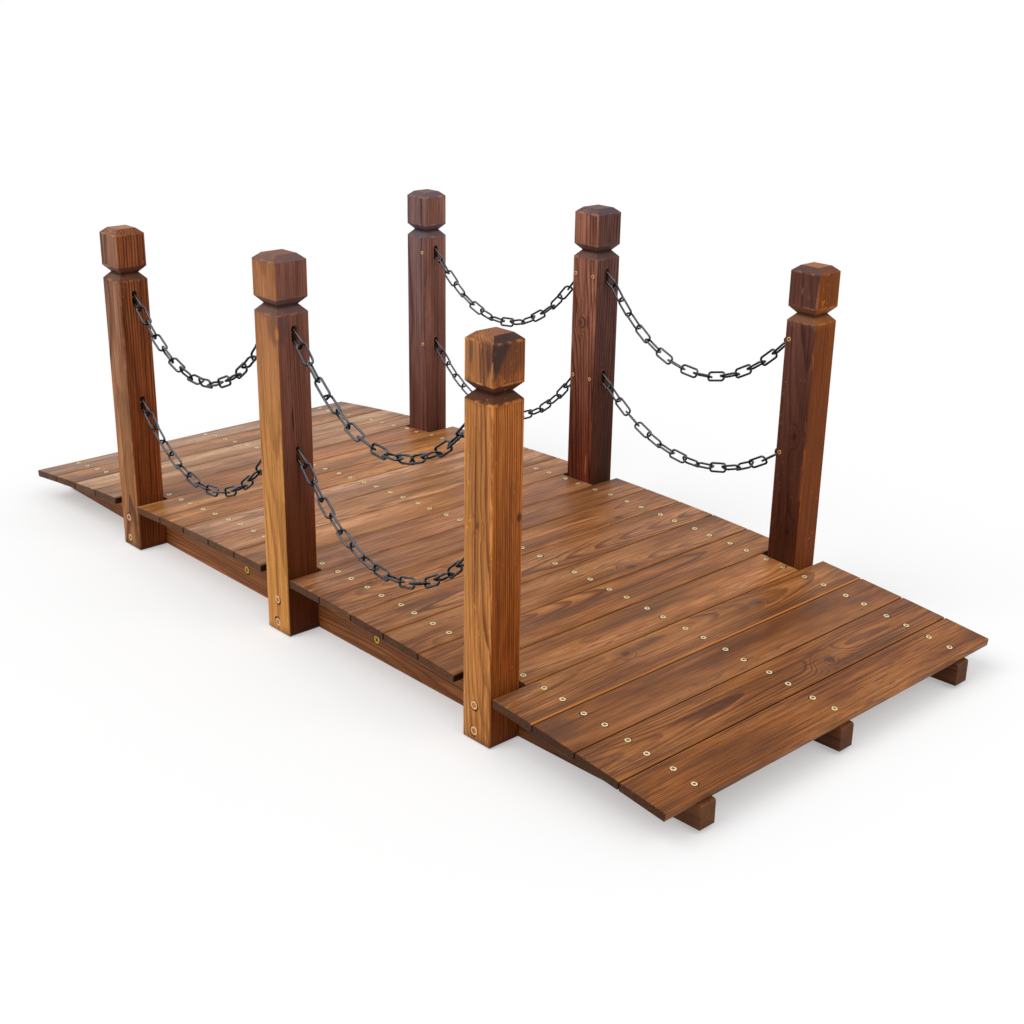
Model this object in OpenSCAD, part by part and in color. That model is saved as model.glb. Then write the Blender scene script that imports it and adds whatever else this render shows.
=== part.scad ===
// Garden moon bridge: a low arched plank deck on three stringers, with six grooved square
// posts and two levels of hanging link chain between the posts on each side.
// Lengths are in millimetres. X runs along the bridge, Y across it and Z up. The origin is
// on the ground under the middle of the deck.

/* [Deck] */
// Length of the deck between the outer edges of its end planks, measured level
deck_length = 1498.6; // [1300:1:1800]
// Length of a full plank, which is the width of the deck
deck_width = 669.9; // [600:1:800]
// Height of the deck's top above the ground at the middle
deck_height = 94; // [90:1:120]
// Rise of the deck from its ends to its middle
deck_rise = 44; // [30:1:50]
// Thickness of a plank
plank_thick = 12; // [9:0.5:16]
// Gap between two neighbouring planks
plank_gap = 1.6; // [1:0.1:4]
// Planks between the posts of one bay, counted post to post
bay_planks = 6; // [5:1:7]
// Planks beyond the outer posts at each end
end_planks = 4; // [3:1:5]
// Rounding of a plank's long edges
plank_ease = 2.2; // [1:0.1:3]
// Rounding of a plank's sawn ends
end_ease = 1; // [0.5:0.1:2]

/* [Stringers] */
// Thickness of a stringer across the bridge
stringer_thick = 26; // [20:1:36]
// Length that a stringer shows beyond the end planks
stringer_overhang = 3; // [1:1:15]
// Chamfer along the top of a stringer's end
stringer_nose = 2; // [1:0.5:4]
// How far a stringer's underside rises from the outer posts to its ends
toe_lift = 6; // [2:0.5:12]

/* [Posts] */
// Side of an end post's square section
post_side = 50.8; // [44:0.2:60]
// Side of a middle post's square section
middle_side = 53.6; // [48:0.2:60]
// How far an end post's outer face lies inside the ends of the planks
post_inset = 5.2; // [3:0.2:12]
// Height of an end post above the ground
post_height = 523.9; // [480:1:600]
// Extra height of the middle posts
middle_extra = 26; // [0:1:40]
// Rounding of a post's upright edges
post_ease = 3; // [1:0.5:5]
// Height of the bevel round a post's top
cap_bevel_height = 8.5; // [5:0.5:14]
// How far the top bevel comes in from each face
cap_bevel_inset = 10; // [5:0.5:14]
// Height of the straight sides of a post's head
head_height = 49; // [40:1:65]
// Height of each slope of the neck groove
neck_slope_height = 11; // [6:0.2:14]
// Depth of the neck groove
neck_depth = 10.2; // [5:0.2:12]
// Chamfer round a post's foot
foot_chamfer = 2; // [0.5:0.5:4]

/* [Chain sockets] */
// Distance from a post's top down to the middle of its upper chain socket
upper_socket_drop = 107.3; // [95:0.1:125]
// Distance between the middles of the upper and lower sockets
socket_spacing = 170; // [150:1:190]
// Width of a socket slot
socket_width = 9; // [7:0.5:12]
// Height of a socket slot
socket_height = 25; // [23:0.5:30]
// Depth of a socket slot
socket_depth = 19; // [17:0.5:21]
// Diameter of the pin that holds a chain's end link
pin_diameter = 3; // [2.5:0.1:4]
// Distance of the pin behind the post's face
pin_setback = 7.5; // [6:0.5:9]
// How far the pin sits above the middle of its socket
pin_lift = 1; // [0:0.5:2]

/* [Chains] */
// Least length of a chain, as a multiple of the distance between its two pins
chain_slack = 1.12; // [1.08:0.01:1.25]
// Links left out of the lower chain on the far side of the +X bay
short_chain_links = 1; // [0:1:1]
// Diameter of the chain wire
wire_diameter = 3.4; // [2.6:0.1:4]
// Inside length of a link, which is the pitch of the chain
link_pitch = 27.3; // [26:0.1:30]
// Outside width of a link
link_width = 16.4; // [15:0.1:18]
// Bend radius at a link's corners, to the middle of the wire
link_corner = 4.8; // [3:0.1:5.5]
// Slope of the end links, which lie on the lower lips of their sockets
end_link_slope = 34; // [30:1:36]
// Greatest turn of a hanging link away from its chain's even twist
link_wander = 25; // [0:1:30]

/* [Hidden] */
plank_count = 2 * bay_planks + 2 * end_planks + 1;
deck_radius = (pow(deck_length / 2, 2) + pow(deck_rise, 2)) / (2 * deck_rise);
deck_half_angle = asin(deck_length / 2 / deck_radius);
plank_pitch_angle = 2 * deck_half_angle / plank_count;
plank_width = plank_pitch_angle * PI / 180 * deck_radius - plank_gap;
arc_centre_z = deck_height - deck_radius;

post_x = deck_radius * sin(bay_planks * plank_pitch_angle);
post_inner_y = deck_width / 2 - post_inset - post_side;
chain_y = post_inner_y + post_side / 2;
stringer_y = post_inner_y - stringer_thick / 2;
stringer_length = deck_length + 2 * stringer_overhang;
notch_clearance = 1;
pin_distance = post_x - (post_side + middle_side) / 2 + 2 * pin_setback;

// Slack between two links, between a pin and its bore and between a link and a socket's lip
link_play = 0.4;
pin_play = 0.2;
lip_play = 0.15;
// Depth that a pin reaches into the wood behind its socket
pin_embed = 10;
// Each chain's twist between its posts in quarter turns, and the start of the slow wave in
// which its links wander from that: near and far side, bays 1 and 2, upper and lower chain
chain_set = [
    [[[0, 20], [0, 200]], [[4, 120], [0, 90]]],
    [[[-4, 200], [0, 130]], [[0, 150], [-3, 80]]]
];
wander_step = 14;

ends = [1, 2, 3];
bays = [1, 2];
sides = ["near", "far"];
levels = ["upper", "lower"];

function plank_name(i) = str("plank_", i < 10 ? "0" : "", i);
function post_name(side, i) = str("post_", side, "_", i);
function chain_name(side, bay, level) = str("chain_", side, "_", bay, "_", level);

// Hyperbolic functions in radians
function sinh(x) = (exp(x) - exp(-x)) / 2;
function cosh(x) = (exp(x) + exp(-x)) / 2;
function asinh(x) = ln(x + sqrt(x * x + 1));
function atanh(x) = 0.5 * ln((1 + x) / (1 - x));

// The k at which sinh(k) / k equals ratio, by Newton steps from a start well above it
function catenary_k(ratio, k = 3, steps = 14) =
    steps == 0 ? k :
    catenary_k(ratio, k - (sinh(k) - ratio * k) / (cosh(k) - ratio), steps - 1);

function side_sign(side) = side == "near" ? -1 : 1;

// Posts are numbered 1 to 3 along +X, and the second stands at the middle
function post_px(i) = (i - 2) * post_x;
function side_of(i) = i == 2 ? middle_side : post_side;
function post_top(i) = post_height + (i == 2 ? middle_extra : 0);
function socket_z(i, level) =
    post_top(i) - upper_socket_drop - (level == "upper" ? 0 : socket_spacing);

function is_post_plank(i) =
    abs(i - (plank_count + 1) / 2) == bay_planks || i == (plank_count + 1) / 2;

// A square with quarter-round corners, centred
module rounded_square(w, h, r) {
    square([w - 2 * r, h], center = true);
    square([w, h - 2 * r], center = true);
    for (x = [-1, 1], y = [-1, 1])
        translate([x * (w / 2 - r), y * (h / 2 - r)])
            circle(r = r, $fn = 24);
}

// Deck board number i, laid on the arc and level across it, all its edges eased. A board
// between two posts is shortened to fit between their inner faces.
module plank(i) {
    angle = (i - (plank_count + 1) / 2) * plank_pitch_angle;
    length = is_post_plank(i) ? 2 * (post_inner_y - notch_clearance) : deck_width;
    color(i % 2 == 0 ? "sienna" : "peru")
        translate([0, 0, arc_centre_z])
            rotate([0, angle, 0])
                translate([0, 0, deck_radius - plank_thick / 2])
                    intersection() {
                        rotate([90, 0, 0])
                            linear_extrude(height = length, center = true)
                                rounded_square(plank_width, plank_thick, plank_ease);
                        rotate([90, 0, 90])
                            linear_extrude(height = plank_width, center = true)
                                rounded_square(length, plank_thick, end_ease);
                    }
}

// Side view of a stringer: arched above under the planks, flat below between the outer
// posts and rising a little from there to its ends, noses chamfered
module stringer_profile() {
    end_x = stringer_length / 2;
    toe_x = post_x + post_side / 2;
    top_radius = deck_radius - plank_thick;
    end_z = arc_centre_z + sqrt(pow(top_radius, 2) - pow(end_x, 2));
    intersection() {
        translate([0, arc_centre_z])
            circle(r = top_radius, $fn = 1800);
        polygon([
            [-end_x, toe_lift], [-toe_x, 0], [toe_x, 0], [end_x, toe_lift],
            [end_x, end_z - stringer_nose], [end_x - stringer_nose, end_z + 1],
            [end_x - stringer_nose, deck_height],
            [-end_x + stringer_nose, deck_height],
            [-end_x + stringer_nose, end_z + 1], [-end_x, end_z - stringer_nose]
        ]);
    }
}

module stringer(y) {
    color("saddlebrown")
        translate([0, y, 0])
            rotate([90, 0, 0])
                linear_extrude(height = stringer_thick, center = true)
                    stringer_profile();
}

// Side view of a post: chamfered foot, straight shaft, neck groove, head and bevelled top
module post_profile(side, top) {
    w = side / 2;
    head_top = top - cap_bevel_height;
    head_base = head_top - head_height;
    neck = head_base - neck_slope_height;
    shoulder = neck - neck_slope_height;
    right = [
        [w - foot_chamfer, 0], [w, foot_chamfer], [w, shoulder],
        [w - neck_depth, neck], [w, head_base], [w, head_top],
        [w - cap_bevel_inset, top]
    ];
    left = [for (i = [len(right) - 1:-1:0]) [-right[i][0], right[i][1]]];
    polygon(concat(right, left));
}

// Upright slot with round ends, cut from the YZ plane back along -X
module socket() {
    straight = socket_height - socket_width;
    translate([-socket_depth, 0, 0])
        rotate([0, 90, 0])
            linear_extrude(height = socket_depth + 1) {
                square([straight, socket_width], center = true);
                for (x = [-1, 1])
                    translate([x * straight / 2, 0])
                        circle(d = socket_width, $fn = 32);
            }
}

// Pin through such a socket, from the post's inner face into the wood behind
module pin(inward, diameter = pin_diameter) {
    edge = chain_y - post_inner_y;
    translate([-pin_setback, inward * edge, pin_lift])
        rotate([inward * 90, 0, 0])
            cylinder(d = diameter, h = edge + socket_width / 2 + pin_embed, $fn = 24);
}

// Puts a socket's or pin's shape at the face of post i that looks towards facing
module at_socket(side, i, level, facing) {
    translate([
        post_px(i) + facing * side_of(i) / 2,
        side_sign(side) * chain_y,
        socket_z(i, level)
    ])
        scale([facing, 1, 1])
            children();
}

// A post stands on the ground with its shaft against the stringer. Sockets face the bays.
module post(side, i) {
    top = post_top(i);
    width = side_of(i);
    facings = i == 1 ? [1] : i == 3 ? [-1] : [-1, 1];
    color("chocolate")
        difference() {
            translate([post_px(i), side_sign(side) * (post_inner_y + width / 2), 0])
                intersection() {
                    rotate([90, 0, 0])
                        linear_extrude(height = width, center = true)
                            post_profile(width, top);
                    rotate([90, 0, 90])
                        linear_extrude(height = width, center = true)
                            post_profile(width, top);
                    linear_extrude(height = top)
                        rounded_square(width, width, post_ease);
                }
            for (f = facings, l = levels)
                at_socket(side, i, l, f) {
                    socket();
                    pin(-side_sign(side), pin_diameter + pin_play);
                }
        }
}

// One chain link along X, flat in the XZ plane, its corners bent from round wire
module link() {
    half_l = (link_pitch + link_play + wire_diameter) / 2;
    half_w = (link_width - wire_diameter) / 2;
    side_l = 2 * (half_l - link_corner);
    end_l = 2 * (half_w - link_corner);
    for (z = [-1, 1]) {
        translate([-side_l / 2, 0, z * half_w])
            rotate([0, 90, 0])
                cylinder(d = wire_diameter, h = side_l, $fn = 16);
        translate([z * half_l, 0, -end_l / 2])
            cylinder(d = wire_diameter, h = end_l, $fn = 16);
    }
    for (q = [0:3])
        translate([
            (q == 0 || q == 3 ? 1 : -1) * side_l / 2, 0,
            (q < 2 ? 1 : -1) * end_l / 2
        ])
            rotate([90, -90 * q, 0])
                rotate_extrude(angle = 90, $fn = 32)
                    translate([link_corner, 0])
                        circle(d = wire_diameter, $fn = 16);
}

// A chain has the least odd number of links that reaches its length, so that both its end
// links stand upright
function links_in(side, bay, level) =
    2 * ceil((chain_slack * pin_distance / link_pitch - 1) / 2) + 1
    - (side == "far" && bay == 2 && level == "lower" ? short_chain_links : 0);

// Where the pin stands behind the face of post i that looks towards facing, in X and Z
function pin_spot(i, level, facing) = [
    post_px(i) + facing * (side_of(i) / 2 - pin_setback),
    socket_z(i, level) + pin_lift
];

// Both ends of the end link in a socket, seen from its pin with the bay towards +X. The
// link hooks over the pin and its lower side lies on the lip of the socket.
function end_link() =
    let (
        along = [cos(end_link_slope), -sin(end_link_slope)],
        up = [sin(end_link_slope), cos(end_link_slope)],
        lip = [pin_setback, -pin_lift - socket_height / 2],
        lift = link_width / 2 + lip_play + lip * up,
        inner = lift * up - pin_diameter / 2 * along
    )
    [inner, inner + link_pitch * along];

// The joints between the links that hang free, on the catenary of their whole length
function hanging_joints(from, to, count) =
    let (
        span = to[0] - from[0],
        climb = to[1] - from[1],
        length = count * link_pitch,
        k = catenary_k(sqrt(length * length - climb * climb) / span),
        a = span / (2 * k),
        low_x = span / 2 - a * atanh(climb / length)
    )
    [for (i = [0:count])
        let (x = low_x + a * asinh(i * link_pitch / a + sinh(-low_x / a)))
        from + [x, a * (cosh((x - low_x) / a) - cosh(low_x / a))]];

// How far each link is turned about the chain. Every second one is a quarter turn round, on
// top of the chain's own twist and wander. The twist is rounded so that both end links are
// upright.
function link_turns(side, bay, level, count) =
    let (
        own = chain_set[side == "near" ? 0 : 1][bay - 1][level == "upper" ? 0 : 1],
        twist = own[0] + (own[0] + count + 1) % 2,
        last = count - 1
    )
    [for (i = [0:last])
        90 * (i % 2) + 90 * twist * i / last
        + link_wander * sqrt(max(0, sin(180 * i / last))) * sin(wander_step * i + own[1])];

// A chain runs from the pin of one post to the pin of the next. Its links hang inside each
// other.
module chain(side, bay, level) {
    count = links_in(side, bay, level);
    y = side_sign(side) * chain_y;
    first_pin = pin_spot(bay, level, 1);
    last_pin = pin_spot(bay + 1, level, -1);
    hook = end_link();
    back = [for (p = hook) [-p[0], p[1]]];
    joints = concat(
        [first_pin + hook[0]],
        hanging_joints(first_pin + hook[1], last_pin + back[1], count - 2),
        [last_pin + back[0]]
    );
    turns = link_turns(side, bay, level, count);
    color("dimgray")
        for (i = [0:count - 1]) {
            step = joints[i + 1] - joints[i];
            middle = (joints[i + 1] + joints[i]) / 2;
            translate([middle[0], y, middle[1]])
                rotate([0, -atan2(step[1], step[0]), 0])
                    rotate([turns[i], 0, 0])
                        link();
        }
    color("darkgoldenrod")
        for (e = [[bay, 1], [bay + 1, -1]])
            at_socket(side, e[0], level, e[1])
                pin(-side_sign(side));
}

for (i = [1:plank_count])
    plank(i);
stringer(-stringer_y);  // stringer_near
stringer(0);  // stringer_middle
stringer(stringer_y);  // stringer_far
for (s = sides, i = ends)
    post(s, i);
for (s = sides, b = bays, l = levels)
    chain(s, b, l);
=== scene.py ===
"""Looks of a garden moon bridge: charred and oiled softwood, black chain, zinc screws.

Everything is in metres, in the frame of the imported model: X along the bridge, Y across it,
Z up. "near" is the -Y side, towards the picture; planks, posts and bays count along +X.
"""
import bpy
import bmesh
import math
import random
from types import SimpleNamespace
from mathutils import Matrix, Vector


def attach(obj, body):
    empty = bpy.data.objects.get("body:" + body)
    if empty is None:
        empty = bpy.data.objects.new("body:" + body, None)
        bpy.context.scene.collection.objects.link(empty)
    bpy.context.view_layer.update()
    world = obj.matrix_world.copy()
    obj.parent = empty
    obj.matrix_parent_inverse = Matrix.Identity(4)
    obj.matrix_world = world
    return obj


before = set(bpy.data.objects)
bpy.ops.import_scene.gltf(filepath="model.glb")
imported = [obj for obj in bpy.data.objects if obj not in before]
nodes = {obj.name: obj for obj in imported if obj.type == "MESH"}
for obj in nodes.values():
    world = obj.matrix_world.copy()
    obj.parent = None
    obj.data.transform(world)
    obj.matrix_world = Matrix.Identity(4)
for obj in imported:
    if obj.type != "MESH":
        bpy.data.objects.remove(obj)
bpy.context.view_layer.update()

# ---------------------------------------------------------------- sizes, as in the CAD source
DECK_LENGTH = 1.4986
DECK_HEIGHT = 0.094
DECK_RISE = 0.044
DECK_HALF_WIDTH = 0.335
PLANKS = 21
BAY_PLANKS = 6
PLANK_GAP = 0.0016
STRINGER_Y = 0.26595
STRINGERS = (("near", -STRINGER_Y), ("middle", 0.0), ("far", STRINGER_Y))
POST_INNER_Y = 0.27895
POST_SIDE = 0.0508
MIDDLE_SIDE = 0.0536
POST_HEIGHT = 0.5239
MIDDLE_EXTRA = 0.026
# down from a post's top: to the bevel's foot, the head's lower edge, the groove, the upper socket
CAP_HEIGHT = 0.0085
HEAD_DROP = 0.0575
NECK_DROP = 0.0685
SOCKET_DROP = 0.1073
SOCKET_SPACING = 0.170
PIN_SETBACK = 0.0075
PIN_LIFT = 0.001
PIN_RADIUS = 0.0015

# screws: head radii, and places measured in the photograph
DECK_SCREW = 0.0041
POST_SCREW = 0.0060
CHAIN_SCREW = 0.0034
PLANK_SCREW_OFFSET = 0.0161
POST_SCREW_HEIGHTS = (0.015, 0.051)
STRINGER_SCREW_X = 0.163
STRINGER_SCREW_HEIGHT = 0.0295

deck_radius = ((DECK_LENGTH / 2) ** 2 + DECK_RISE ** 2) / (2 * DECK_RISE)
plank_angle = 2 * math.asin(DECK_LENGTH / 2 / deck_radius) / PLANKS
plank_half = (plank_angle * deck_radius - PLANK_GAP) / 2
arc_z = DECK_HEIGHT - deck_radius
post_x = deck_radius * math.sin(BAY_PLANKS * plank_angle)
SIGN = {"near": -1, "far": 1}


def plank_top(i, along=0.0):
    """X and Z of plank i's top face, this far along it from its middle, and its tilt."""
    a = (i - (PLANKS + 1) / 2) * plank_angle
    return (deck_radius * math.sin(a) + along * math.cos(a),
            arc_z + deck_radius * math.cos(a) - along * math.sin(a), a)


def post_half(i):
    return (MIDDLE_SIDE if i == 2 else POST_SIDE) / 2


def post_centre(side, i):
    return (i - 2) * post_x, SIGN[side] * (POST_INNER_Y + post_half(i))


def post_top(i):
    return POST_HEIGHT + (MIDDLE_EXTRA if i == 2 else 0.0)


def pin_place(i, sense, level):
    """X and Z of the chain's pin behind the face of post i that looks along X in this sense."""
    z = post_top(i) - SOCKET_DROP - (0.0 if level == "upper" else SOCKET_SPACING) + PIN_LIFT
    return (i - 2) * post_x + sense * (post_half(i) - PIN_SETBACK), z


# ---------------------------------------------------------------- camera
PICTURE_PX = 1024


def set_camera():
    """The camera fitted to the photograph: angles in radians, focal length in its pixels."""
    focal_px, azimuth, elevation, roll = 1470.5, 0.8191, 0.3638, 0.0159
    place = Vector((1.6428, -1.4083, 0.9283))
    back = Vector((math.sin(azimuth) * math.cos(elevation),
                   -math.cos(azimuth) * math.cos(elevation), math.sin(elevation)))
    right = Vector((0, 0, 1)).cross(back).normalized()
    up = back.cross(right)
    right, up = (math.cos(roll) * right + math.sin(roll) * up,
                 -math.sin(roll) * right + math.cos(roll) * up)
    camera = bpy.data.cameras.new("camera")
    camera.sensor_width = 36.0
    camera.lens = focal_px / PICTURE_PX * camera.sensor_width
    camera.clip_end = 100
    item = bpy.data.objects.new("camera", camera)
    item.matrix_world = Matrix((
        (right.x, up.x, back.x, place.x), (right.y, up.y, back.y, place.y),
        (right.z, up.z, back.z, place.z), (0, 0, 0, 1)))
    bpy.context.scene.collection.objects.link(item)
    bpy.context.scene.camera = item


set_camera()


# ---------------------------------------------------------------- material nodes
def srgb(r, g, b):
    """A colour given in 8-bit display values, as Blender wants it."""
    line = [(c / 255 / 12.92) if c <= 10 else ((c / 255 + 0.055) / 1.055) ** 2.4
            for c in (r, g, b)]
    return (*line, 1.0)


class Tree:
    """One procedural material. Most methods add a node and return its output."""

    def __init__(self, name):
        self.material = bpy.data.materials.new(name)
        self.material.use_nodes = True
        self.nt = self.material.node_tree
        self.nt.nodes.clear()
        out = self.nt.nodes.new("ShaderNodeOutputMaterial")
        self.bsdf = self.nt.nodes.new("ShaderNodeBsdfPrincipled")
        self.nt.links.new(self.bsdf.outputs[0], out.inputs[0])

    def put(self, socket, value):
        if isinstance(value, bpy.types.NodeSocket):
            self.nt.links.new(value, socket)
        else:
            socket.default_value = value

    def node(self, kind, values, **settings):
        """A node with these settings. values go to its first inputs, in order."""
        n = self.nt.nodes.new("ShaderNode" + kind)
        for key, value in settings.items():
            setattr(n, key, value)
        for socket, value in zip(n.inputs, values):
            self.put(socket, value)
        return n

    def coords(self, kind="Object"):
        return self.node("TexCoord", ()).outputs[kind]

    def math(self, op, *values):
        return self.node("Math", values, operation=op).outputs[0]

    def chain(self, op, values):
        total = values[0]
        for v in values[1:]:
            total = self.math(op, total, v)
        return total

    def add(self, *values):
        return self.chain("ADD", values)

    def mul(self, *values):
        return self.chain("MULTIPLY", values)

    def most(self, *values):
        return self.chain("MAXIMUM", values)

    def hypot(self, a, b):
        return self.math("SQRT", self.add(self.mul(a, a), self.mul(b, b)))

    def vector(self, op, *values):
        n = self.node("VectorMath", values, operation=op)
        return n.outputs["Value" if op == "LENGTH" else "Vector"]

    def combine(self, *values):
        return self.node("CombineXYZ", values).outputs[0]

    def separate(self, v):
        return tuple(self.node("SeparateXYZ", (v,)).outputs)

    def noise(self, v, scale=1.0, detail=2.0, rough=0.5):
        n = self.node("TexNoise", (v,))
        n.inputs["Scale"].default_value = scale
        n.inputs["Detail"].default_value = detail
        n.inputs["Roughness"].default_value = rough
        return n.outputs[0]

    def step(self, value, low, high, to_low=0.0, to_high=1.0):
        """Smooth step of value from low to high."""
        return self.node("MapRange", (value, low, high, to_low, to_high),
                         interpolation_type="SMOOTHSTEP").outputs[0]

    def mix(self, factor, a, b, mode="MIX"):
        n = self.node("Mix", (factor,), data_type="RGBA", blend_type=mode)
        # the sockets for colours come after those for numbers and vectors
        self.put(n.inputs[6], a)
        self.put(n.inputs[7], b)
        return n.outputs[2]

    def times(self, colour, ratios):
        """The colour times another, channel by channel."""
        return self.mix(1.0, colour, ratios, "MULTIPLY")

    def tint(self, colour, factor):
        """The colour times a number."""
        n = self.node("VectorMath", (colour[:3] if isinstance(colour, tuple) else colour,),
                      operation="SCALE")
        self.put(n.inputs["Scale"], factor)
        return n.outputs[0]

    def bump(self, height, distance, strength):
        n = self.node("Bump", ())
        self.put(n.inputs["Strength"], strength)
        self.put(n.inputs["Distance"], distance)
        self.put(n.inputs["Height"], height)
        return n.outputs[0]

    def finish(self, **values):
        """Sets the surface's inputs and returns the material."""
        for name, value in values.items():
            self.put(self.bsdf.inputs[name.replace("_", " ")], value)
        return self.material


def dress(item, material):
    """Gives an object this one material."""
    if len(item.material_slots) == 0:
        item.data.materials.append(material)
    for slot in item.material_slots:
        slot.material = material


# ---------------------------------------------------------------- wood
# Ratios between colours: late wood to early, weathered wood to sound, charred wood and knots
# to late, and sawn ends to the faces' early and late wood
LATE_WOOD = (0.35, 0.26, 0.24, 1.0)
WEATHERED = (0.97, 1.17, 1.60, 1.0)
CHARRED = (1.0, 0.98, 1.25, 1.0)
KNOT_WOOD = (0.42, 0.55, 1.3, 1.0)
SAWN_EARLY = (0.16, 0.17, 0.24, 1.0)
SAWN_LATE = (0.16, 0.19, 0.32, 1.0)
PORE_SOOT = srgb(86, 58, 46)


def grain_axes(t, b, grain, turn):
    """Sets b.u along the grain, b.v and b.w across it, and b.facing, the normal's part along
    the grain. turn is the tilt about Y of a board whose grain runs along Y."""
    x, y, z = b.local
    if grain == "y":
        b.u, b.facing = y, b.normal[1]
        b.v = t.add(t.mul(x, math.cos(turn)), t.mul(z, -math.sin(turn)))
        b.w = t.add(t.mul(x, math.sin(turn)), t.mul(z, math.cos(turn)))
    elif grain == "x":
        b.u, b.v, b.w, b.facing = x, y, z, b.normal[0]
    else:
        b.u, b.v, b.w, b.facing = z, x, y, b.normal[2]


def bend_round_knots(t, b, radius, knots):
    """Bends the rings round each knot. Returns the radius, the knots and their halos."""
    marks, halos = [], []
    for along, across, size in knots:
        away = t.hypot(t.mul(t.add(b.u, -along), 0.62), t.add(b.v, -across))
        halo = t.math("EXPONENT", t.mul(t.mul(away, away), -1 / (2.4 * size) ** 2))
        radius = t.math("MULTIPLY_ADD", halo, 2.8 * size, radius)
        ragged = t.math("MULTIPLY_ADD", b.field(60, 160, 160, 2.0, 0.6, 1), 1.3 * size,
                        t.add(away, -0.65 * size))
        rings = t.math("MULTIPLY_ADD", t.math("SINE", t.mul(ragged, 15 / size)), 0.22, 0.74)
        marks.append(t.mul(t.step(ragged, 1.15 * size, 0.60 * size), rings))
        halos.append(halo)
    return radius, marks, halos


def wood(name, grain, centre, seed, early, *, pith, tilt, ring, wander, contrast, zones,
         burn, smudge, extra, end_dark, roughness, gloss, turn=0.0, weather=0.2,
         streaks=0.6, hairs=0.5, knots=(), spots=()):
    """Softwood cut from a log. The rings run round a pith beside the board, so that faces
    and end grain agree. u runs along the grain, v and w across it.

    early: the light wood's colour, or a function that gives it
    pith, tilt: the log's middle in v and w, and how it runs off along u
    ring, wander: width of a ring, and how far the rings wander
    contrast, streaks, hairs: strength of the ring lines and of the finer lines
    zones, weather: strength of broad light and dark parts, and of greyed wood in the light
    burn, smudge: strength of the charred clouds and of soot in the pores
    extra: a function that adds marks of the piece's own
    knots, spots: (along, across, radius) each, and (place, radii, strength, colour) each"""
    t = Tree(name)
    rng = random.Random(seed)
    shift = [rng.uniform(-40, 40) for _ in range(3)]
    b = SimpleNamespace(place=t.coords())
    b.local = t.separate(t.vector("SUBTRACT", b.place, centre))
    b.normal = t.separate(t.coords("Normal"))
    grain_axes(t, b, grain, turn)

    def field(su, sv, sw, detail, rough, turned):
        """Noise with this many cells per metre along u, v and w; turned (0 to 2) picks
        another part of it."""
        s = shift[turned:] + shift[:turned]
        return t.noise(t.combine(t.add(t.mul(b.u, su), s[0] + 7.3 * turned),
                                 t.add(t.mul(b.v, sv), s[1]), t.add(t.mul(b.w, sw), s[2])),
                       1.0, detail, rough)

    def drift(turned):
        return t.math("MULTIPLY_ADD", field(2.4, 7, 7, 1.0, 0.5, turned), 2 * wander, -wander)

    b.field = field
    if callable(early):
        early = early(t, b)
        late = t.times(early, LATE_WOOD)
    else:
        late = tuple(a * k for a, k in zip(early, LATE_WOOD))
    b.early = early

    # the ring lines: they darken slowly and end sharply, some years stronger than others
    radius = t.hypot(t.add(b.v, t.mul(b.u, -tilt[0]), drift(1), -pith[0]),
                     t.add(b.w, t.mul(b.u, -tilt[1]), drift(2), -pith[1]))
    radius, marks, halos = bend_round_knots(t, b, radius, knots)
    jitter = t.mul(field(5, 45, 45, 2.0, 0.55, 0), 1.2)
    turns = t.add(t.math("DIVIDE", radius, ring), jitter)
    phase = t.math("FRACT", turns)
    year = t.noise(t.combine(t.math("FLOOR", turns), 3.7, shift[0]), 1.7, 0.0)
    patch = field(3.0, 22, 22, 3.0, 0.6, 2)
    line = t.mul(t.step(phase, 0.42, 0.86), t.step(phase, 1.0, 0.95),
                 t.step(year, 0.25, 0.70, 0.35, 1.0),
                 t.step(patch, 0.32, 0.62, 0.35, 1.0), contrast)
    b.line = line
    fibre = field(26, 1500, 1500, 3.0, 0.7, 1)
    streak = field(4.0, 260, 260, 4.0, 0.70, 2)
    hair = t.mul(t.step(field(6, 430, 430, 2.0, 0.6, 0), 0.52, 0.62),
                 t.step(field(4, 30, 30, 2.0, 0.6, 2), 0.36, 0.58, 0.3, 1.0), hairs)
    colour = t.mix(line, early, late)
    colour = t.mix(t.most(hair, t.step(streak, 0.50, 0.68, 0.0, streaks)), colour, late)

    # broad light and dark zones; the light ones are greyed by the weather
    zone = field(3.2, 24, 24, 4.0, 0.62, 1)
    colour = t.tint(colour, t.step(zone, 0.30, 0.70, 1 - 1.2 * zones, 1 + zones))
    colour = t.mix(t.step(zone, 0.42, 0.68, 0.0, weather), colour, t.times(colour, WEATHERED))
    # charring: clouds drawn out along the grain, the darkest where the lines are
    cloud = field(4.5, 36, 36, 5.0, 0.66, 0)
    char = t.mul(t.step(cloud, 0.46, 0.70), burn, t.math("MULTIPLY_ADD", line, 0.5, 0.6))
    colour = t.mix(char, colour, t.times(late, CHARRED))
    # soot in the pores: short bluish dashes, in patches
    dash = t.mul(t.step(field(34, 300, 300, 2.0, 0.6, 2), 0.55, 0.68),
                 t.step(field(5, 26, 26, 3.0, 0.6, 1), 0.50, 0.62), smudge)
    colour = t.mix(dash, colour, PORE_SOOT)
    for place, radii, strength, shade in spots:
        away = t.vector("LENGTH", t.vector("DIVIDE", t.vector("SUBTRACT", b.place, place),
                                           radii))
        away = t.math("MULTIPLY_ADD", field(24, 120, 120, 3.0, 0.65, 2), 0.8,
                      t.add(away, -0.4))
        colour = t.mix(t.step(away, 1.15, 0.55, 0.0, strength), colour, shade)
    if knots:
        colour = t.mix(t.mul(t.most(*halos), 0.30), colour, late)
        colour = t.mix(t.mul(t.most(*marks), 0.92), colour, t.times(late, KNOT_WOOD))
    colour = t.tint(colour, t.step(fibre, 0.30, 0.70, 0.76, 1.22))

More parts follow.
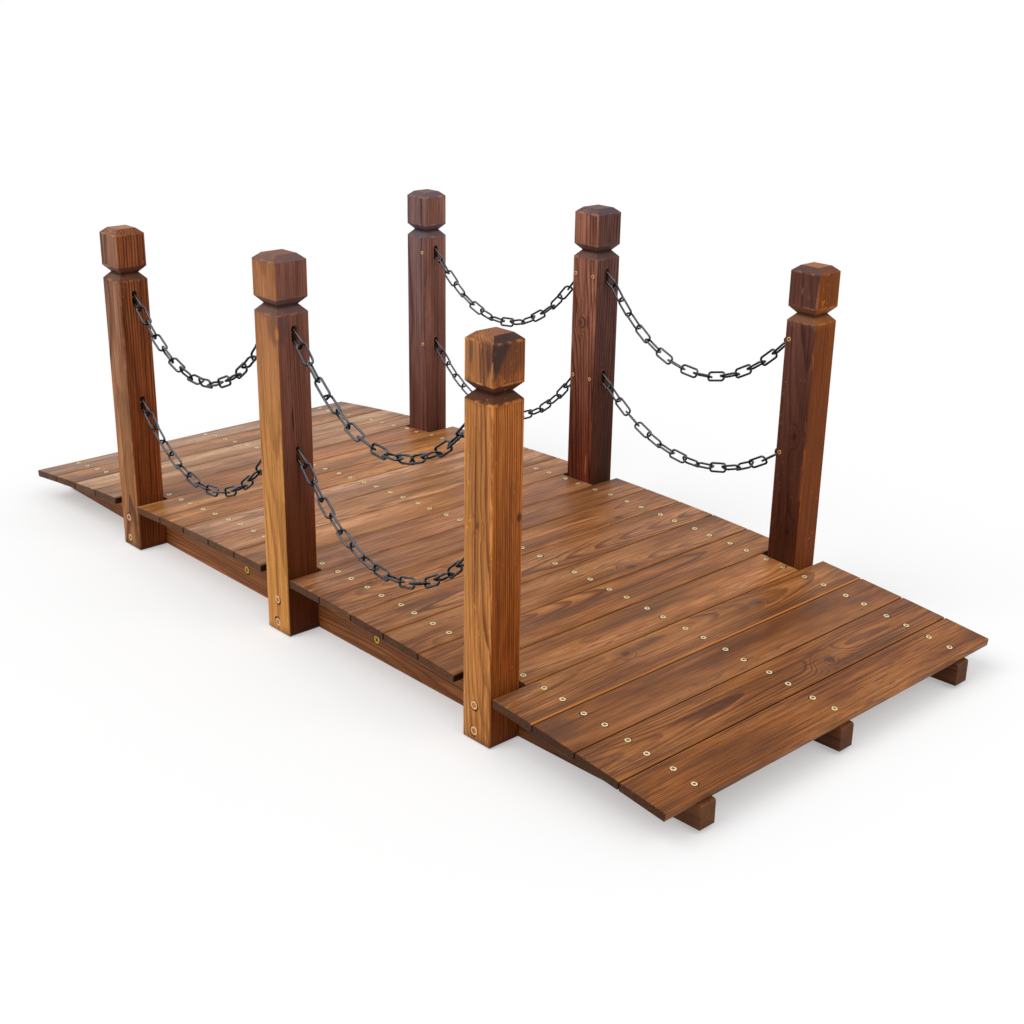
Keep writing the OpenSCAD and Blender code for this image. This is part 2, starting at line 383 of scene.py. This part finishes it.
    # sawn ends drink more oil and char darker
    end = t.mul(t.step(t.math("ABSOLUTE", b.facing), 0.80, 0.95), end_dark)
    b.end = end
    grit = field(60, 520, 520, 3.0, 0.7, 2)
    sawn = t.mix(line, t.times(early, SAWN_EARLY), t.times(late, SAWN_LATE))
    colour = t.mix(end, colour, t.tint(sawn, t.step(grit, 0.36, 0.64, 0.45, 1.6)))
    colour = extra(t, colour, b)

    height = t.add(t.mul(line, 0.55), t.mul(fibre, 0.35), t.mul(streak, 0.3),
                   t.mul(end, grit, 1.6))
    if knots:
        height = t.add(height, t.mul(t.most(*marks), -0.6))
    rough = t.add(roughness - 0.05, t.mul(fibre, 0.16), t.mul(line, -0.08), t.mul(end, 0.25))
    return t.finish(Base_Color=colour, Roughness=t.math("MINIMUM", rough, 0.95),
                    Specular_IOR_Level=gloss, Normal=t.bump(height, 0.00022, 0.9))


# ---------------------------------------------------------------- planks
ARRIS_WEAR_AND_HIGHLIGHT = srgb(196, 120, 52)
EDGE_SMOKE = srgb(72, 42, 26)
GAP_SHADE = srgb(26, 14, 8)


def plank_extra(arris, outer):
    """Long edges: a pale arris along the top, rubbed wood with a painted highlight, and painted
    shade in the gap between planks.
    outer is the sense of a long side that has no neighbour, or 0."""
    def extra(t, colour, b):
        edge = t.math("ABSOLUTE", b.v)
        patchy = b.field(6, 30, 30, 3.0, 0.65, 2)
        # smoke that crept in from the long edges and from the ends
        smoke = t.most(
            t.mul(t.step(edge, plank_half - 0.014, plank_half - 0.002),
                  t.step(patchy, 0.46, 0.62)),
            t.mul(t.step(t.math("ABSOLUTE", b.u), DECK_HALF_WIDTH - 0.050,
                         DECK_HALF_WIDTH - 0.003),
                  t.step(b.field(16, 110, 110, 3.0, 0.65, 0), 0.42, 0.62)))
        colour = t.mix(t.mul(smoke, 0.45, t.add(1.0, t.mul(b.end, -1.0))), colour, EDGE_SMOKE)
        # the pale arris: rubbed wood, and a painted highlight where the rounded edge catches the
        # light
        rub = t.mul(t.step(edge, plank_half - 0.0032, plank_half - 0.0016),
                    t.step(b.w, -0.0022, -0.0010),
                    t.step(patchy, 0.34, 0.58, 0.25, 1.0), arris)
        colour = t.mix(rub, colour, ARRIS_WEAR_AND_HIGHLIGHT)
        # painted shade down the side faces in the gap between planks; a side with no neighbour
        # gets none
        side = t.step(edge, plank_half - 0.0016, plank_half - 0.0008)
        if outer:
            side = t.mul(side, t.step(t.mul(b.v, outer), 0.0, -0.001))
        side = t.mul(side, t.step(b.w, -0.0009, -0.0022))
        return t.mix(t.mul(side, 0.92), colour, GAP_SHADE)
    return extra


# Marks at the places where the photograph shows them. A knot is (along, across, radius) from
# the middle of its plank; a spot is (place in the bridge's frame, radii, strength, colour)
PLANK_KNOTS = {
    20: [(0.0956, 0.010, 0.0070)],
    18: [(0.144, -0.004, 0.0028), (-0.119, -0.016, 0.0040)],
    15: [(0.081, 0.022, 0.0060)],
    13: [(0.204, 0.024, 0.0060), (-0.254, -0.026, 0.0030)],
}
SOOT = srgb(80, 52, 40)
BLUE = srgb(92, 74, 72)
PLANK_SPOTS = {
    19: [((0.560, -0.318, 0.068), (0.028, 0.034, 0.02), 0.5, SOOT),
         ((0.549, 0.201, 0.058), (0.010, 0.045, 0.02), 0.6, SOOT),
         ((0.573, 0.262, 0.055), (0.006, 0.035, 0.02), 0.7, BLUE)],
    18: [((0.491, 0.140, 0.064), (0.007, 0.024, 0.02), 0.7, BLUE),
         ((0.481, -0.090, 0.065), (0.010, 0.070, 0.02), 0.55, SOOT),
         ((0.470, -0.300, 0.066), (0.012, 0.045, 0.02), 0.6, SOOT)],
    17: [((0.420, -0.02, 0.07), (0.014, 0.10, 0.02), 0.35, SOOT)],
    16: [((0.352, -0.13, 0.08), (0.016, 0.16, 0.02), 0.50, SOOT)],
    15: [((0.300, 0.302, 0.085), (0.006, 0.030, 0.02), 0.6, BLUE)],
    14: [((0.214, -0.23, 0.09), (0.012, 0.06, 0.02), 0.5, SOOT)],
}
# By plank: lightness, redness, yellowness, grain, char, pale arris (rubbed wood and a painted
# highlight), darkness of the sawn ends. Towards -X the planks are lighter and greyer, partly in
# their own tone and partly by painted sheen, the grazing reflection of the white surroundings.
PLANK_LOOKS = {
    1: (2.14, 0.70, 0.55, 0.6, 0.3, 0.15, 0.90), 2: (1.56, 0.91, 0.95, 0.6, 0.3, 0.15, 0.85),
    3: (2.35, 0.72, 0.62, 0.3, 0.3, 0.20, 0.90), 4: (2.09, 0.80, 0.71, 0.7, 0.4, 0.15, 0.93),
    5: (1.32, 1.05, 1.05, 0.7, 0.5, 0.20, 0.90), 6: (1.88, 0.90, 0.99, 0.6, 0.4, 0.25, 0.90),
    7: (1.70, 0.98, 1.20, 0.7, 0.3, 0.20, 0.88), 8: (2.55, 0.75, 0.60, 0.6, 0.3, 0.20, 0.90),
    9: (2.29, 0.80, 0.71, 0.6, 0.4, 0.15, 0.93), 10: (2.45, 0.85, 0.78, 0.7, 0.3, 0.30, 0.93),
    11: (1.78, 0.90, 0.71, 0.7, 0.6, 0.20, 0.93), 12: (1.63, 0.90, 0.78, 0.7, 0.6, 0.30, 0.95),
    13: (1.58, 0.95, 0.94, 0.7, 0.4, 0.35, 0.70), 14: (1.43, 0.95, 0.94, 0.9, 0.4, 0.40, 0.95),
    15: (1.37, 0.95, 0.94, 0.6, 0.3, 0.20, 0.93), 16: (1.37, 1.00, 1.10, 0.8, 0.7, 0.20, 0.80),
    17: (1.73, 0.95, 0.94, 0.6, 0.3, 0.35, 0.93), 18: (1.43, 0.95, 0.99, 0.7, 0.5, 0.95, 0.95),
    19: (0.97, 1.05, 1.10, 0.7, 0.5, 0.20, 0.97), 20: (1.07, 1.05, 1.26, 0.9, 0.4, 0.25, 0.98),
    21: (1.12, 1.10, 1.49, 1.1, 0.3, 0.30, 0.94),
}
DECK = srgb(150, 92, 46)
FLAT_SAWN_SHARE = 0.55

plank_rng = random.Random(11)
for i in range(1, PLANKS + 1):
    light, red, yellow, grain, char, arris, sawn = PLANK_LOOKS[i]
    x, z, a = plank_top(i)
    # a flat-sawn plank has the pith under it, the others have it beside them
    flat = plank_rng.random() < FLAT_SAWN_SHARE
    pith = ((plank_rng.uniform(-0.025, 0.025), -plank_rng.uniform(0.025, 0.07)) if flat
            else (plank_rng.choice((-1, 1)) * plank_rng.uniform(0.06, 0.12),
                  -plank_rng.uniform(0.0, 0.03)))
    dress(nodes[f"plank_{i:02d}"], wood(
        f"wood_plank_{i:02d}", "y", (x, 0.0, z), 100 + i,
        (DECK[0] * light * red, DECK[1] * light, DECK[2] * light / yellow, 1.0),
        turn=a, pith=pith,
        tilt=(plank_rng.uniform(-0.03, 0.03), plank_rng.uniform(-0.05, 0.05)),
        ring=plank_rng.uniform(0.0024, 0.0034), wander=0.012, contrast=1.5 * grain,
        zones=0.42, weather=1.0, burn=char, smudge=0.75, streaks=0.55 + 0.25 * grain,
        hairs=0.9 * grain, knots=PLANK_KNOTS.get(i, ()), spots=PLANK_SPOTS.get(i, ()),
        extra=plank_extra(arris, -1 if i == 1 else 1 if i == PLANKS else 0),
        end_dark=sawn, roughness=0.42, gloss=0.18))


# ---------------------------------------------------------------- stringers
STRINGER_WOOD = srgb(176, 110, 60)
STRINGER_DARK = srgb(60, 34, 24)


def stringer_extra(t, colour, b):
    """Painted shade along the top of the sides, under the planks, and the sides darker towards
    the +X end; the sawn ends are left out.
    """
    # painted shade from the planks on the top of the sides, and the sides darker towards the +X
    # end
    under = t.add(b.local[2], t.mul(b.field(12, 60, 60, 3.0, 0.6, 1), 0.016))
    smoke = t.most(t.mul(t.step(under, -0.012, 0.012), 0.45), t.step(b.u, 0.40, 0.50, 0.0, 0.7))
    return t.mix(t.mul(smoke, t.add(1.0, t.mul(b.end, -1.0))), colour, STRINGER_DARK)


for k, (name, y) in enumerate(STRINGERS):
    dress(nodes[f"stringer_{name}"], wood(
        f"wood_stringer_{name}", "x", (0.0, y, 0.05), 300 + k, STRINGER_WOOD,
        pith=(0.05, -0.07), tilt=(0.01, 0.02), ring=0.0034, wander=0.014, contrast=1.0,
        zones=0.3, burn=0.6, smudge=0.4, extra=stringer_extra, end_dark=0.7,
        roughness=0.5, gloss=0.15))


# ---------------------------------------------------------------- posts
FACES = ((0, 1, "+x"), (0, -1, "-x"), (1, 1, "+y"), (1, -1, "-y"))
FACE_BLEND = (0.10, 0.50)
GROOVE_LINE_SHADE = srgb(44, 26, 20)
FOOT_DARK = srgb(70, 48, 42)
FLAME_MARK = srgb(60, 46, 44)
CROWN_LINES = (0.5, 0.42, 0.40, 1.0)


def face_colours(faces):
    """A post's light wood: each face has a colour at the foot and one at the top."""
    def early(t, b):
        rise = t.step(b.local[2], *FACE_BLEND)
        colour = None
        for axis, sense, key in FACES:
            one = t.mix(rise, faces[key][0], faces[key][1])
            part = t.step(b.normal[axis], 0.30 * sense, 0.62 * sense)
            colour = one if colour is None else t.mix(part, colour, one)
        return colour
    return early


def flame_mark(t, b, i, ragged):
    """The flame's mark on the head's +X side: a corner of it, narrowing downwards, and the
    bevel above."""
    x, y, z = b.local
    top = post_top(i)
    chin = top - HEAD_DROP + 0.0036
    side = t.step(b.normal[0], 0.30, 0.60)
    reach = t.math("MULTIPLY_ADD", z, 0.62, -0.62 * chin - post_half(i))
    corner = t.mul(t.step(t.add(y, t.mul(reach, -1.0), t.mul(ragged, 0.35)), 0.0045, -0.0045),
                   t.step(z, chin - 0.004, chin + 0.008), side)
    slope = t.mul(t.step(z, top - CAP_HEIGHT - 0.0008, top - CAP_HEIGHT + 0.0008), side, 0.75)
    return t.most(t.mul(corner, 0.85), slope)


def post_extra(i, neck, bevel, crown, pale_edges, wedge):
    """Scorched neck and bevel, a darker foot, a sawn crown, and pale edges: chipped and rubbed
    wood, with a painted highlight along the corners and edges.
    neck, bevel and crown are each a strength and a colour."""
    top = post_top(i)

    def extra(t, colour, b):
        x, y, z = b.local
        up = b.normal[2]
        ragged = t.math("MULTIPLY_ADD", b.field(30, 55, 55, 3.0, 0.65, 2), 0.022, -0.011)
        # the neck's scorch spreads from the groove, whose bottom is a sharp line of painted shade
        level = t.math("ABSOLUTE", t.add(z, NECK_DROP - top))
        groove = t.math("ABSOLUTE", t.add(z, NECK_DROP - top, ragged))
        slopes = t.step(t.math("ABSOLUTE", up), 0.30, 0.55)
        burnt = t.most(t.step(groove, 0.019, 0.004, 0.0, 0.8 * neck[0]),
                       t.mul(slopes, t.step(groove, 0.022, 0.010), neck[0]))
        colour = t.mix(burnt, colour, neck[1])
        # painted shade in the crease at the groove's bottom
        colour = t.mix(t.step(level, 0.0045, 0.0005, 0.0, 0.7), colour, GROOVE_LINE_SHADE)
        cap = t.mul(t.step(z, top - CAP_HEIGHT - 0.003, top - CAP_HEIGHT + 0.001),
                    t.step(b.field(40, 60, 60, 3.0, 0.6, 1), 0.25, 0.55, 0.55, 1.0), bevel[0])
        colour = t.mix(cap, colour, bevel[1])
        # darker at the foot, over its lowest 14 mm
        colour = t.mix(t.step(t.add(z, ragged), 0.014, 0.0, 0.0, 0.55), colour, FOOT_DARK)
        if wedge:
            colour = t.mix(flame_mark(t, b, i, ragged), colour, FLAME_MARK)
        sawn = t.mix(b.line, crown[1], t.times(crown[1], CROWN_LINES))
        colour = t.mix(t.mul(t.step(up, 0.90, 0.97), crown[0]), colour, sawn)
        # the upright corners, and the edges at the bevel and at both ends of the neck: pale from
        # wear and from a painted highlight
        corner = t.add(t.math("ABSOLUTE", x), t.math("ABSOLUTE", y), -2 * post_half(i))
        rim = t.step(corner, -0.0042, -0.0020)
        for drop in (CAP_HEIGHT, HEAD_DROP, 2 * NECK_DROP - HEAD_DROP):
            rim = t.most(rim, t.step(t.math("ABSOLUTE", t.add(z, drop - top)), 0.0022, 0.0008))
        worn_and_highlight = t.mul(rim, t.step(b.field(14, 70, 70, 3.0, 0.7, 0), 0.46, 0.60),
                     0.2 + 0.6 * pale_edges)
        chip = t.mul(t.step(b.field(150, 240, 240, 2.0, 0.6, 2), 0.62, 0.68),
                     t.step(b.field(12, 40, 40, 2.0, 0.6, 1), 0.50, 0.62), pale_edges)
        return t.mix(t.most(worn_and_highlight, chip), colour, t.tint(b.early, 1.4 + 0.7 * pale_edges))
    return extra


# By post: colours of each seen face, at the foot and at the top; grain and char; strength and
# colour of the scorched neck, of the bevel and of the sawn crown; pale edges: chips, wear and a
# painted highlight
POST_LOOKS = {
    ("near", 1): ({"-y": (srgb(176, 118, 72), srgb(164, 114, 86)),
                   "+x": (srgb(145, 75, 32), srgb(149, 85, 48))},
                  1.2, 0.5, (0.6, srgb(84, 58, 48)), (0.3, srgb(104, 76, 62)),
                  (0.9, srgb(180, 134, 96)), 0.4),
    ("near", 2): ({"-y": (srgb(226, 156, 80), srgb(178, 118, 74)),
                   "+x": (srgb(102, 49, 21), srgb(150, 98, 82))},
                  0.5, 0.25, (0.85, srgb(104, 78, 74)), (0.85, srgb(106, 84, 82)),
                  (0.8, srgb(134, 90, 68)), 0.2),
    ("near", 3): ({"-y": (srgb(207, 136, 71), srgb(216, 141, 76)),
                   "+x": (srgb(156, 82, 29), srgb(194, 115, 51))},
                  1.0, 0.4, (0.95, srgb(80, 46, 32)), (0.65, srgb(104, 70, 56)),
                  (0.85, srgb(150, 96, 66)), 0.4),
    ("far", 1): ({"-y": (srgb(116, 75, 60), srgb(148, 114, 110)),
                  "+x": (srgb(114, 68, 52), srgb(180, 125, 108))},
                 1.0, 0.5, (0.85, srgb(100, 84, 90)), (0.9, srgb(100, 84, 88)),
                 (0.8, srgb(124, 92, 84)), 0.2),
    ("far", 2): ({"-y": (srgb(109, 51, 31), srgb(172, 116, 92)),
                  "+x": (srgb(94, 46, 18), srgb(118, 78, 68))},
                 1.3, 0.5, (0.7, srgb(90, 70, 68)), (0.85, srgb(86, 72, 78)),
                 (0.8, srgb(116, 90, 84)), 0.3),
    ("far", 3): ({"-y": (srgb(80, 40, 23), srgb(110, 70, 58)),
                  "+x": (srgb(136, 67, 16), srgb(140, 72, 18))},
                 0.6, 0.3, (0.2, srgb(204, 142, 84)), (0.5, srgb(96, 76, 76)),
                 (0.8, srgb(170, 116, 76)), 1.0),
}
WIDE_RINGS = ("near", 1)
FLAMED = ("near", 3)
POST_SPOTS = {
    ("near", 2): [((0.0240, -0.331, 0.455), (0.021, 0.021, 0.028), 0.55, srgb(84, 62, 58)),
                  ((0.0255, -0.331, 0.447), (0.0026, 0.0026, 0.012), 0.95, srgb(206, 122, 54)),
                  ((0.0268, -0.312, 0.324), (0.003, 0.0015, 0.021), 0.95, srgb(24, 17, 18))],
    ("near", 3): [((0.452, -0.306, 0.520), (0.012, 0.022, 0.006), 0.8, srgb(66, 52, 48)),
                  ((0.448, -0.330, 0.500), (0.006, 0.005, 0.024), 0.75, srgb(74, 46, 38)),
                  ((0.416, -0.330, 0.503), (0.004, 0.005, 0.016), 0.6, srgb(74, 52, 50)),
                  ((0.430, -0.330, 0.497), (0.03, 0.006, 0.04), 0.4, srgb(92, 64, 58)),
                  ((0.440, -0.330, 0.492), (0.010, 0.006, 0.032), 0.5, srgb(84, 50, 42)),
                  ((0.4562, -0.308, 0.497), (0.006, 0.034, 0.036), 0.75, srgb(96, 56, 40)),
                  ((0.407, -0.330, 0.24), (0.009, 0.006, 0.5), 0.35, srgb(214, 150, 84)),
                  ((0.4253, -0.330, 0.300), (0.0015, 0.004, 0.17), 0.85, srgb(84, 46, 24)),
                  ((0.456, -0.285, 0.299), (0.004, 0.006, 0.008), 0.8, srgb(66, 38, 24)),
                  ((0.456, -0.318, 0.135), (0.004, 0.004, 0.045), 0.5, srgb(84, 46, 24))],
    ("far", 2): [((0.017, 0.279, 0.125), (0.002, 0.004, 0.02), 0.8, srgb(170, 104, 60))],
}
# a post's knots are (height, place across it along X, radius)
POST_KNOTS = {
    ("near", 3): ((0.292, 0.001, 0.0032),),
    ("far", 2): ((0.364, -0.0055, 0.0040),),
    ("far", 3): ((0.277, 0.006, 0.0036), (0.129, 0.008, 0.0040)),
}

post_rng = random.Random(5)
for (side, i), (faces, grain, char, neck, bevel, crown, pale_edges) in POST_LOOKS.items():
    post = side, i
    x, y = post_centre(side, i)
    # the faces that turn away from the picture are like the seen ones
    faces = {**faces, "-x": faces["+x"], "+y": faces["-y"]}
    dress(nodes[f"post_{side}_{i}"], wood(
        f"wood_post_{side}_{i}", "z", (x, y, 0.0), 500 + 10 * i + (side == "far"),
        face_colours(faces), pith=(post_rng.uniform(-0.03, 0.03), post_rng.uniform(0.03, 0.07)),
        tilt=(post_rng.uniform(-0.02, 0.02), post_rng.uniform(-0.03, 0.03)),
        ring=0.0050 if post == WIDE_RINGS else 0.0034, wander=0.012,
        contrast=1.3 * grain, zones=0.26 * grain, burn=char, smudge=0.3,
        streaks=0.5 + 0.3 * grain, hairs=0.6 * grain,
        knots=POST_KNOTS.get(post, ()), spots=POST_SPOTS.get(post, ()),
        extra=post_extra(i, neck, bevel, crown, pale_edges, post == FLAMED),
        end_dark=0.3, roughness=0.55, gloss=0.10))


# ---------------------------------------------------------------- chains
def chain_paint(name, pins):
    """Black paint on steel, with bare brass-coloured pins. Painted light: the paint is lighter
    and glossier where it looks up and darker beneath, broken by grime.
    """
    t = Tree(name)
    p = t.coords()
    x, y, z = t.separate(p)
    pin = t.most(*[t.math("LESS_THAN", t.hypot(t.add(x, -px), t.add(z, -pz)),
                          PIN_RADIUS * 1.06) for px, pz in pins])
    grime = t.noise(p, 420, 3.0, 0.6)
    fine = t.noise(p, 2600, 2.0, 0.6)
    up = t.separate(t.coords("Normal"))[2]
    # painted light: lighter and glossier on the upward faces, darker beneath, mixed with random
    # grime
    top_light_and_grime = t.step(t.math("MULTIPLY_ADD", grime, 1.2, t.add(up, -0.6)), -0.25, 0.55)
    colour = t.mix(top_light_and_grime, srgb(6, 6, 9), srgb(22, 23, 29))
    colour = t.mix(pin, colour, srgb(112, 88, 56))
    return t.finish(Base_Color=colour, Metallic=t.mul(pin, 0.7),
                    Roughness=t.step(grime, 0.3, 0.75, 0.10, 0.26),
                    Specular_IOR_Level=t.step(top_light_and_grime, 0.0, 1.0, 0.14, 0.95),
                    Specular_Tint=(0.84, 0.90, 1.0, 1.0),
                    Normal=t.bump(t.add(t.mul(grime, 0.6), t.mul(fine, 0.4)), 0.00012, 0.8))


for side in SIGN:
    for bay in (1, 2):
        for level in ("upper", "lower"):
            name = f"chain_{side}_{bay}_{level}"
            pins = (pin_place(bay, 1, level), pin_place(bay + 1, -1, level))
            dress(nodes[name], chain_paint("paint_" + name, pins))


# ---------------------------------------------------------------- screws
def zinc(name, warm, pink):
    """Yellow-passivated zinc, with the uneven tint of the plating."""
    t = Tree(name)
    p = t.coords()
    spot = t.noise(p, 1500, 2.0, 0.6)
    colour = t.mix(t.step(t.noise(p, 260, 2.0, 0.6), 0.38, 0.62), warm, pink)
    colour = t.mix(t.step(spot, 0.62, 0.8, 0.0, 0.5), colour, srgb(120, 100, 70))
    return t.finish(Base_Color=colour, Metallic=0.75, Roughness=t.step(spot, 0.3, 0.7, 0.3, 0.5),
                    Normal=t.bump(spot, 0.00008, 0.6))


def crumbly(name, colour):
    """Rough dark matter: the dark cross recess, and the painted shade round a screw head."""
    t = Tree(name)
    n = t.noise(t.coords(), 900, 3.0, 0.6)
    return t.finish(Base_Color=t.tint(colour, t.step(n, 0.3, 0.7, 0.6, 1.2)),
                    Roughness=0.85, Normal=t.bump(n, 0.0001, 0.8))


ZINC_DECK = zinc("zinc_pale", srgb(230, 216, 142), srgb(240, 234, 196))
ZINC_POST = zinc("zinc_pink", srgb(222, 186, 92), srgb(232, 166, 140))
ZINC_PIN = zinc("zinc_brass", srgb(228, 192, 112), srgb(214, 168, 98))
ZINC_YELLOW = zinc("zinc_yellow", srgb(226, 194, 58), srgb(206, 156, 60))
# the cross recess is dark
RECESS = crumbly("recess_dark", srgb(26, 18, 12))
# painted shade in the gap round each screw head
GAP_RING_SHADE = crumbly("screw_gap_shade", srgb(30, 17, 11))
HEAD_SLOT, RECESS_SLOT, GAP_SHADE_SLOT = range(3)
QUARTER = math.pi / 2


def screw_mesh(bm, at, radius, rng):
    """A countersunk head with a cross recess, ringed by a flat sheet of painted shade for the gap
    round the head.
    at puts the head's centre on the surface, with +Z out of it."""
    # a quarter of the cross: bearings of its outline, and its reach at each of them
    wide, reach = radius * 0.23, radius * 0.58
    arm = math.atan2(wide, reach)
    bearings = [0.0, arm, math.radians(29), math.pi / 4, math.radians(61), QUARTER - arm]
    cross = 4 * [reach, math.hypot(reach, wide), wide / math.sin(bearings[2]),
                 wide * math.sqrt(2), wide / math.cos(bearings[4]), math.hypot(reach, wide)]
    bearings = [a + q * QUARTER for q in range(4) for a in bearings]
    count = len(bearings)
    lift = rng.uniform(0.00008, 0.00030)
    lean = Matrix.Rotation(rng.uniform(-0.03, 0.03), 4, "X") @ Matrix.Rotation(
        rng.uniform(-0.03, 0.03), 4, "Y")
    place = at @ lean @ Matrix.Rotation(rng.uniform(0, QUARTER), 4, "Z")

    def ring(height, radii):
        return [bm.verts.new(place @ Vector((r * math.cos(a), r * math.sin(a), height)))
                for a, r in zip(bearings, radii)]

    # the ring of painted shade is wider on one side of the head
    widest = rng.uniform(0, 2 * math.pi)
    shade_ring = [radius * (1.26 + 0.16 * math.cos(a - widest) + rng.uniform(-0.04, 0.04))
            for a in bearings]
    rings = [
        ring(0.00003, shade_ring),
        ring(0.00005, count * [0.99 * radius]),
        ring(lift + 0.0001, count * [radius]),
        ring(lift + 0.00030, count * [0.93 * radius]),
        ring(lift + 0.00034, [1.06 * r for r in cross]),
        ring(lift + 0.00020, cross),
        ring(lift - 0.0012, [0.72 * r for r in cross]),
    ]
    for k in range(len(rings) - 1):
        for j in range(count):
            face = bm.faces.new((rings[k][j], rings[k][(j + 1) % count],
                                 rings[k + 1][(j + 1) % count], rings[k + 1][j]))
            face.material_index = GAP_SHADE_SLOT if k == 0 else RECESS_SLOT if k == 5 else HEAD_SLOT
            face.smooth = k in (2, 3)
    face = bm.faces.new(rings[-1])
    face.material_index = RECESS_SLOT


def screw_piece(name, places, radius, metal, seed):
    rng = random.Random(seed)
    bm = bmesh.new()
    for at in places:
        screw_mesh(bm, at, radius, rng)
    bmesh.ops.recalc_face_normals(bm, faces=bm.faces)
    mesh = bpy.data.meshes.new(name)
    bm.to_mesh(mesh)
    bm.free()
    item = bpy.data.objects.new(name, mesh)
    bpy.context.scene.collection.objects.link(item)
    for material in (metal, RECESS, GAP_RING_SHADE):
        mesh.materials.append(material)
    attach(item, "root")


def deck_screws(name, y, seed):
    """Two screws in each plank over the stringer at y."""
    rng = random.Random(seed)
    places = []
    for i in range(1, PLANKS + 1):
        for along in (-PLANK_SCREW_OFFSET, PLANK_SCREW_OFFSET):
            x, z, a = plank_top(i, along + rng.uniform(-0.0012, 0.0012))
            places.append(Matrix.Translation((x, y + rng.uniform(-0.002, 0.002), z))
                          @ Matrix.Rotation(a, 4, "Y"))
    screw_piece(name, places, DECK_SCREW, ZINC_DECK, seed + 1)


for k, (name, y) in enumerate(STRINGERS):
    deck_screws(f"screws_deck_{name}", y, 21 + k)


def facing(x, y, z, outward):
    """Placement on an upright face whose outward direction is along Y."""
    return Matrix.Translation((x, y, z)) @ Matrix.Rotation(-outward * QUARTER, 4, "X")


screw_rng = random.Random(31)
for side, out in SIGN.items():
    places = [facing((i - 2) * post_x + screw_rng.uniform(-0.004, 0.002),
                     out * (POST_INNER_Y + 2 * post_half(i)), z, out)
              for i in (1, 2, 3) for z in POST_SCREW_HEIGHTS]
    screw_piece(f"screws_posts_{side}", places, POST_SCREW, ZINC_POST, 40 + out)
    places = [facing(x, out * POST_INNER_Y, STRINGER_SCREW_HEIGHT, out)
              for x in (-STRINGER_SCREW_X, STRINGER_SCREW_X)]
    screw_piece(f"screws_stringer_{side}", places, POST_SCREW, ZINC_YELLOW, 50 + out)
    places = []
    for bay in (1, 2):
        for level in ("upper", "lower"):
            for i, sense in ((bay, 1), (bay + 1, -1)):
                px, pz = pin_place(i, sense, level)
                places.append(facing(px, out * POST_INNER_Y, pz, -out))
    screw_piece(f"screws_chain_{side}", places, CHAIN_SCREW, ZINC_PIN, 60 + out)


# ---------------------------------------------------------------- floor, light
DAYLIGHT = 0.45
FLOOR = 0.65
FLOOR_REACH = 30.0
FLOOR_Z = -0.0005
WHITE = (1, 1, 1, 1)


def looked_at(nt):
    """1 for the rays that look at the background, 0 for those that light the object."""
    path = nt.nodes.new("ShaderNodeLightPath")
    total = path.outputs["Is Camera Ray"]
    for name in ("Is Glossy Ray", "Is Transmission Ray"):
        n = nt.nodes.new("ShaderNodeMath")
        n.operation = "MAXIMUM"
        nt.links.new(total, n.inputs[0])
        nt.links.new(path.outputs[name], n.inputs[1])
        total = n.outputs[0]
    return total


def white_stage():
    """A floor that keeps the soft shadow and is white where nothing shades it."""
    mesh = bpy.data.meshes.new("floor")
    r, z = FLOOR_REACH, FLOOR_Z
    mesh.from_pydata([(-r, -r, z), (r, -r, z), (r, r, z), (-r, r, z)], [], [(0, 1, 2, 3)])
    floor = bpy.data.objects.new("floor", mesh)
    bpy.context.scene.collection.objects.link(floor)
    material = bpy.data.materials.new("floor_white")
    material.use_nodes = True
    nt = material.node_tree
    nt.nodes.clear()
    out = nt.nodes.new("ShaderNodeOutputMaterial")
    diffuse = nt.nodes.new("ShaderNodeBsdfDiffuse")
    diffuse.inputs[0].default_value = (FLOOR, FLOOR, FLOOR, 1)
    glow = nt.nodes.new("ShaderNodeEmission")
    scale = nt.nodes.new("ShaderNodeMath")
    scale.operation = "MULTIPLY"
    nt.links.new(looked_at(nt), scale.inputs[0])
    scale.inputs[1].default_value = 1.01 - FLOOR
    nt.links.new(scale.outputs[0], glow.inputs["Strength"])
    both = nt.nodes.new("ShaderNodeAddShader")
    nt.links.new(diffuse.outputs[0], both.inputs[0])
    nt.links.new(glow.outputs[0], both.inputs[1])
    nt.links.new(both.outputs[0], out.inputs[0])
    mesh.materials.append(material)


def white_world():
    """White where it is looked at, and a dimmer white as a light."""
    world = bpy.data.worlds.new("studio")
    bpy.context.scene.world = world
    world.use_nodes = True
    nt = world.node_tree
    nt.nodes.clear()
    out = nt.nodes.new("ShaderNodeOutputWorld")
    lit = nt.nodes.new("ShaderNodeBackground")
    lit.inputs["Color"].default_value = WHITE
    lit.inputs["Strength"].default_value = DAYLIGHT
    seen = nt.nodes.new("ShaderNodeBackground")
    seen.inputs["Color"].default_value = WHITE
    mix = nt.nodes.new("ShaderNodeMixShader")
    nt.links.new(looked_at(nt), mix.inputs[0])
    nt.links.new(lit.outputs[0], mix.inputs[1])
    nt.links.new(seen.outputs[0], mix.inputs[2])
    nt.links.new(mix.outputs[0], out.inputs[0])


def soft_sun(name, towards, width, on_level):
    """A soft light from this direction, so many degrees wide. on_level is its part of the
    light under which a level white surface shows as white."""
    lamp = bpy.data.lights.new(name, "SUN")
    lamp.angle = math.radians(width)
    way = Vector(towards).normalized()
    lamp.energy = on_level * math.pi / way.z
    item = bpy.data.objects.new(name, lamp)
    item.rotation_euler = way.to_track_quat("Z", "Y").to_euler()
    bpy.context.scene.collection.objects.link(item)


white_stage()
white_world()
soft_sun("key", (-0.25, -1.0, 1.25), 44, 0.35)
soft_sun("side", (0.90, 0.05, 1.0), 50, 0.20)

bpy.context.scene.view_settings.view_transform = "Standard"
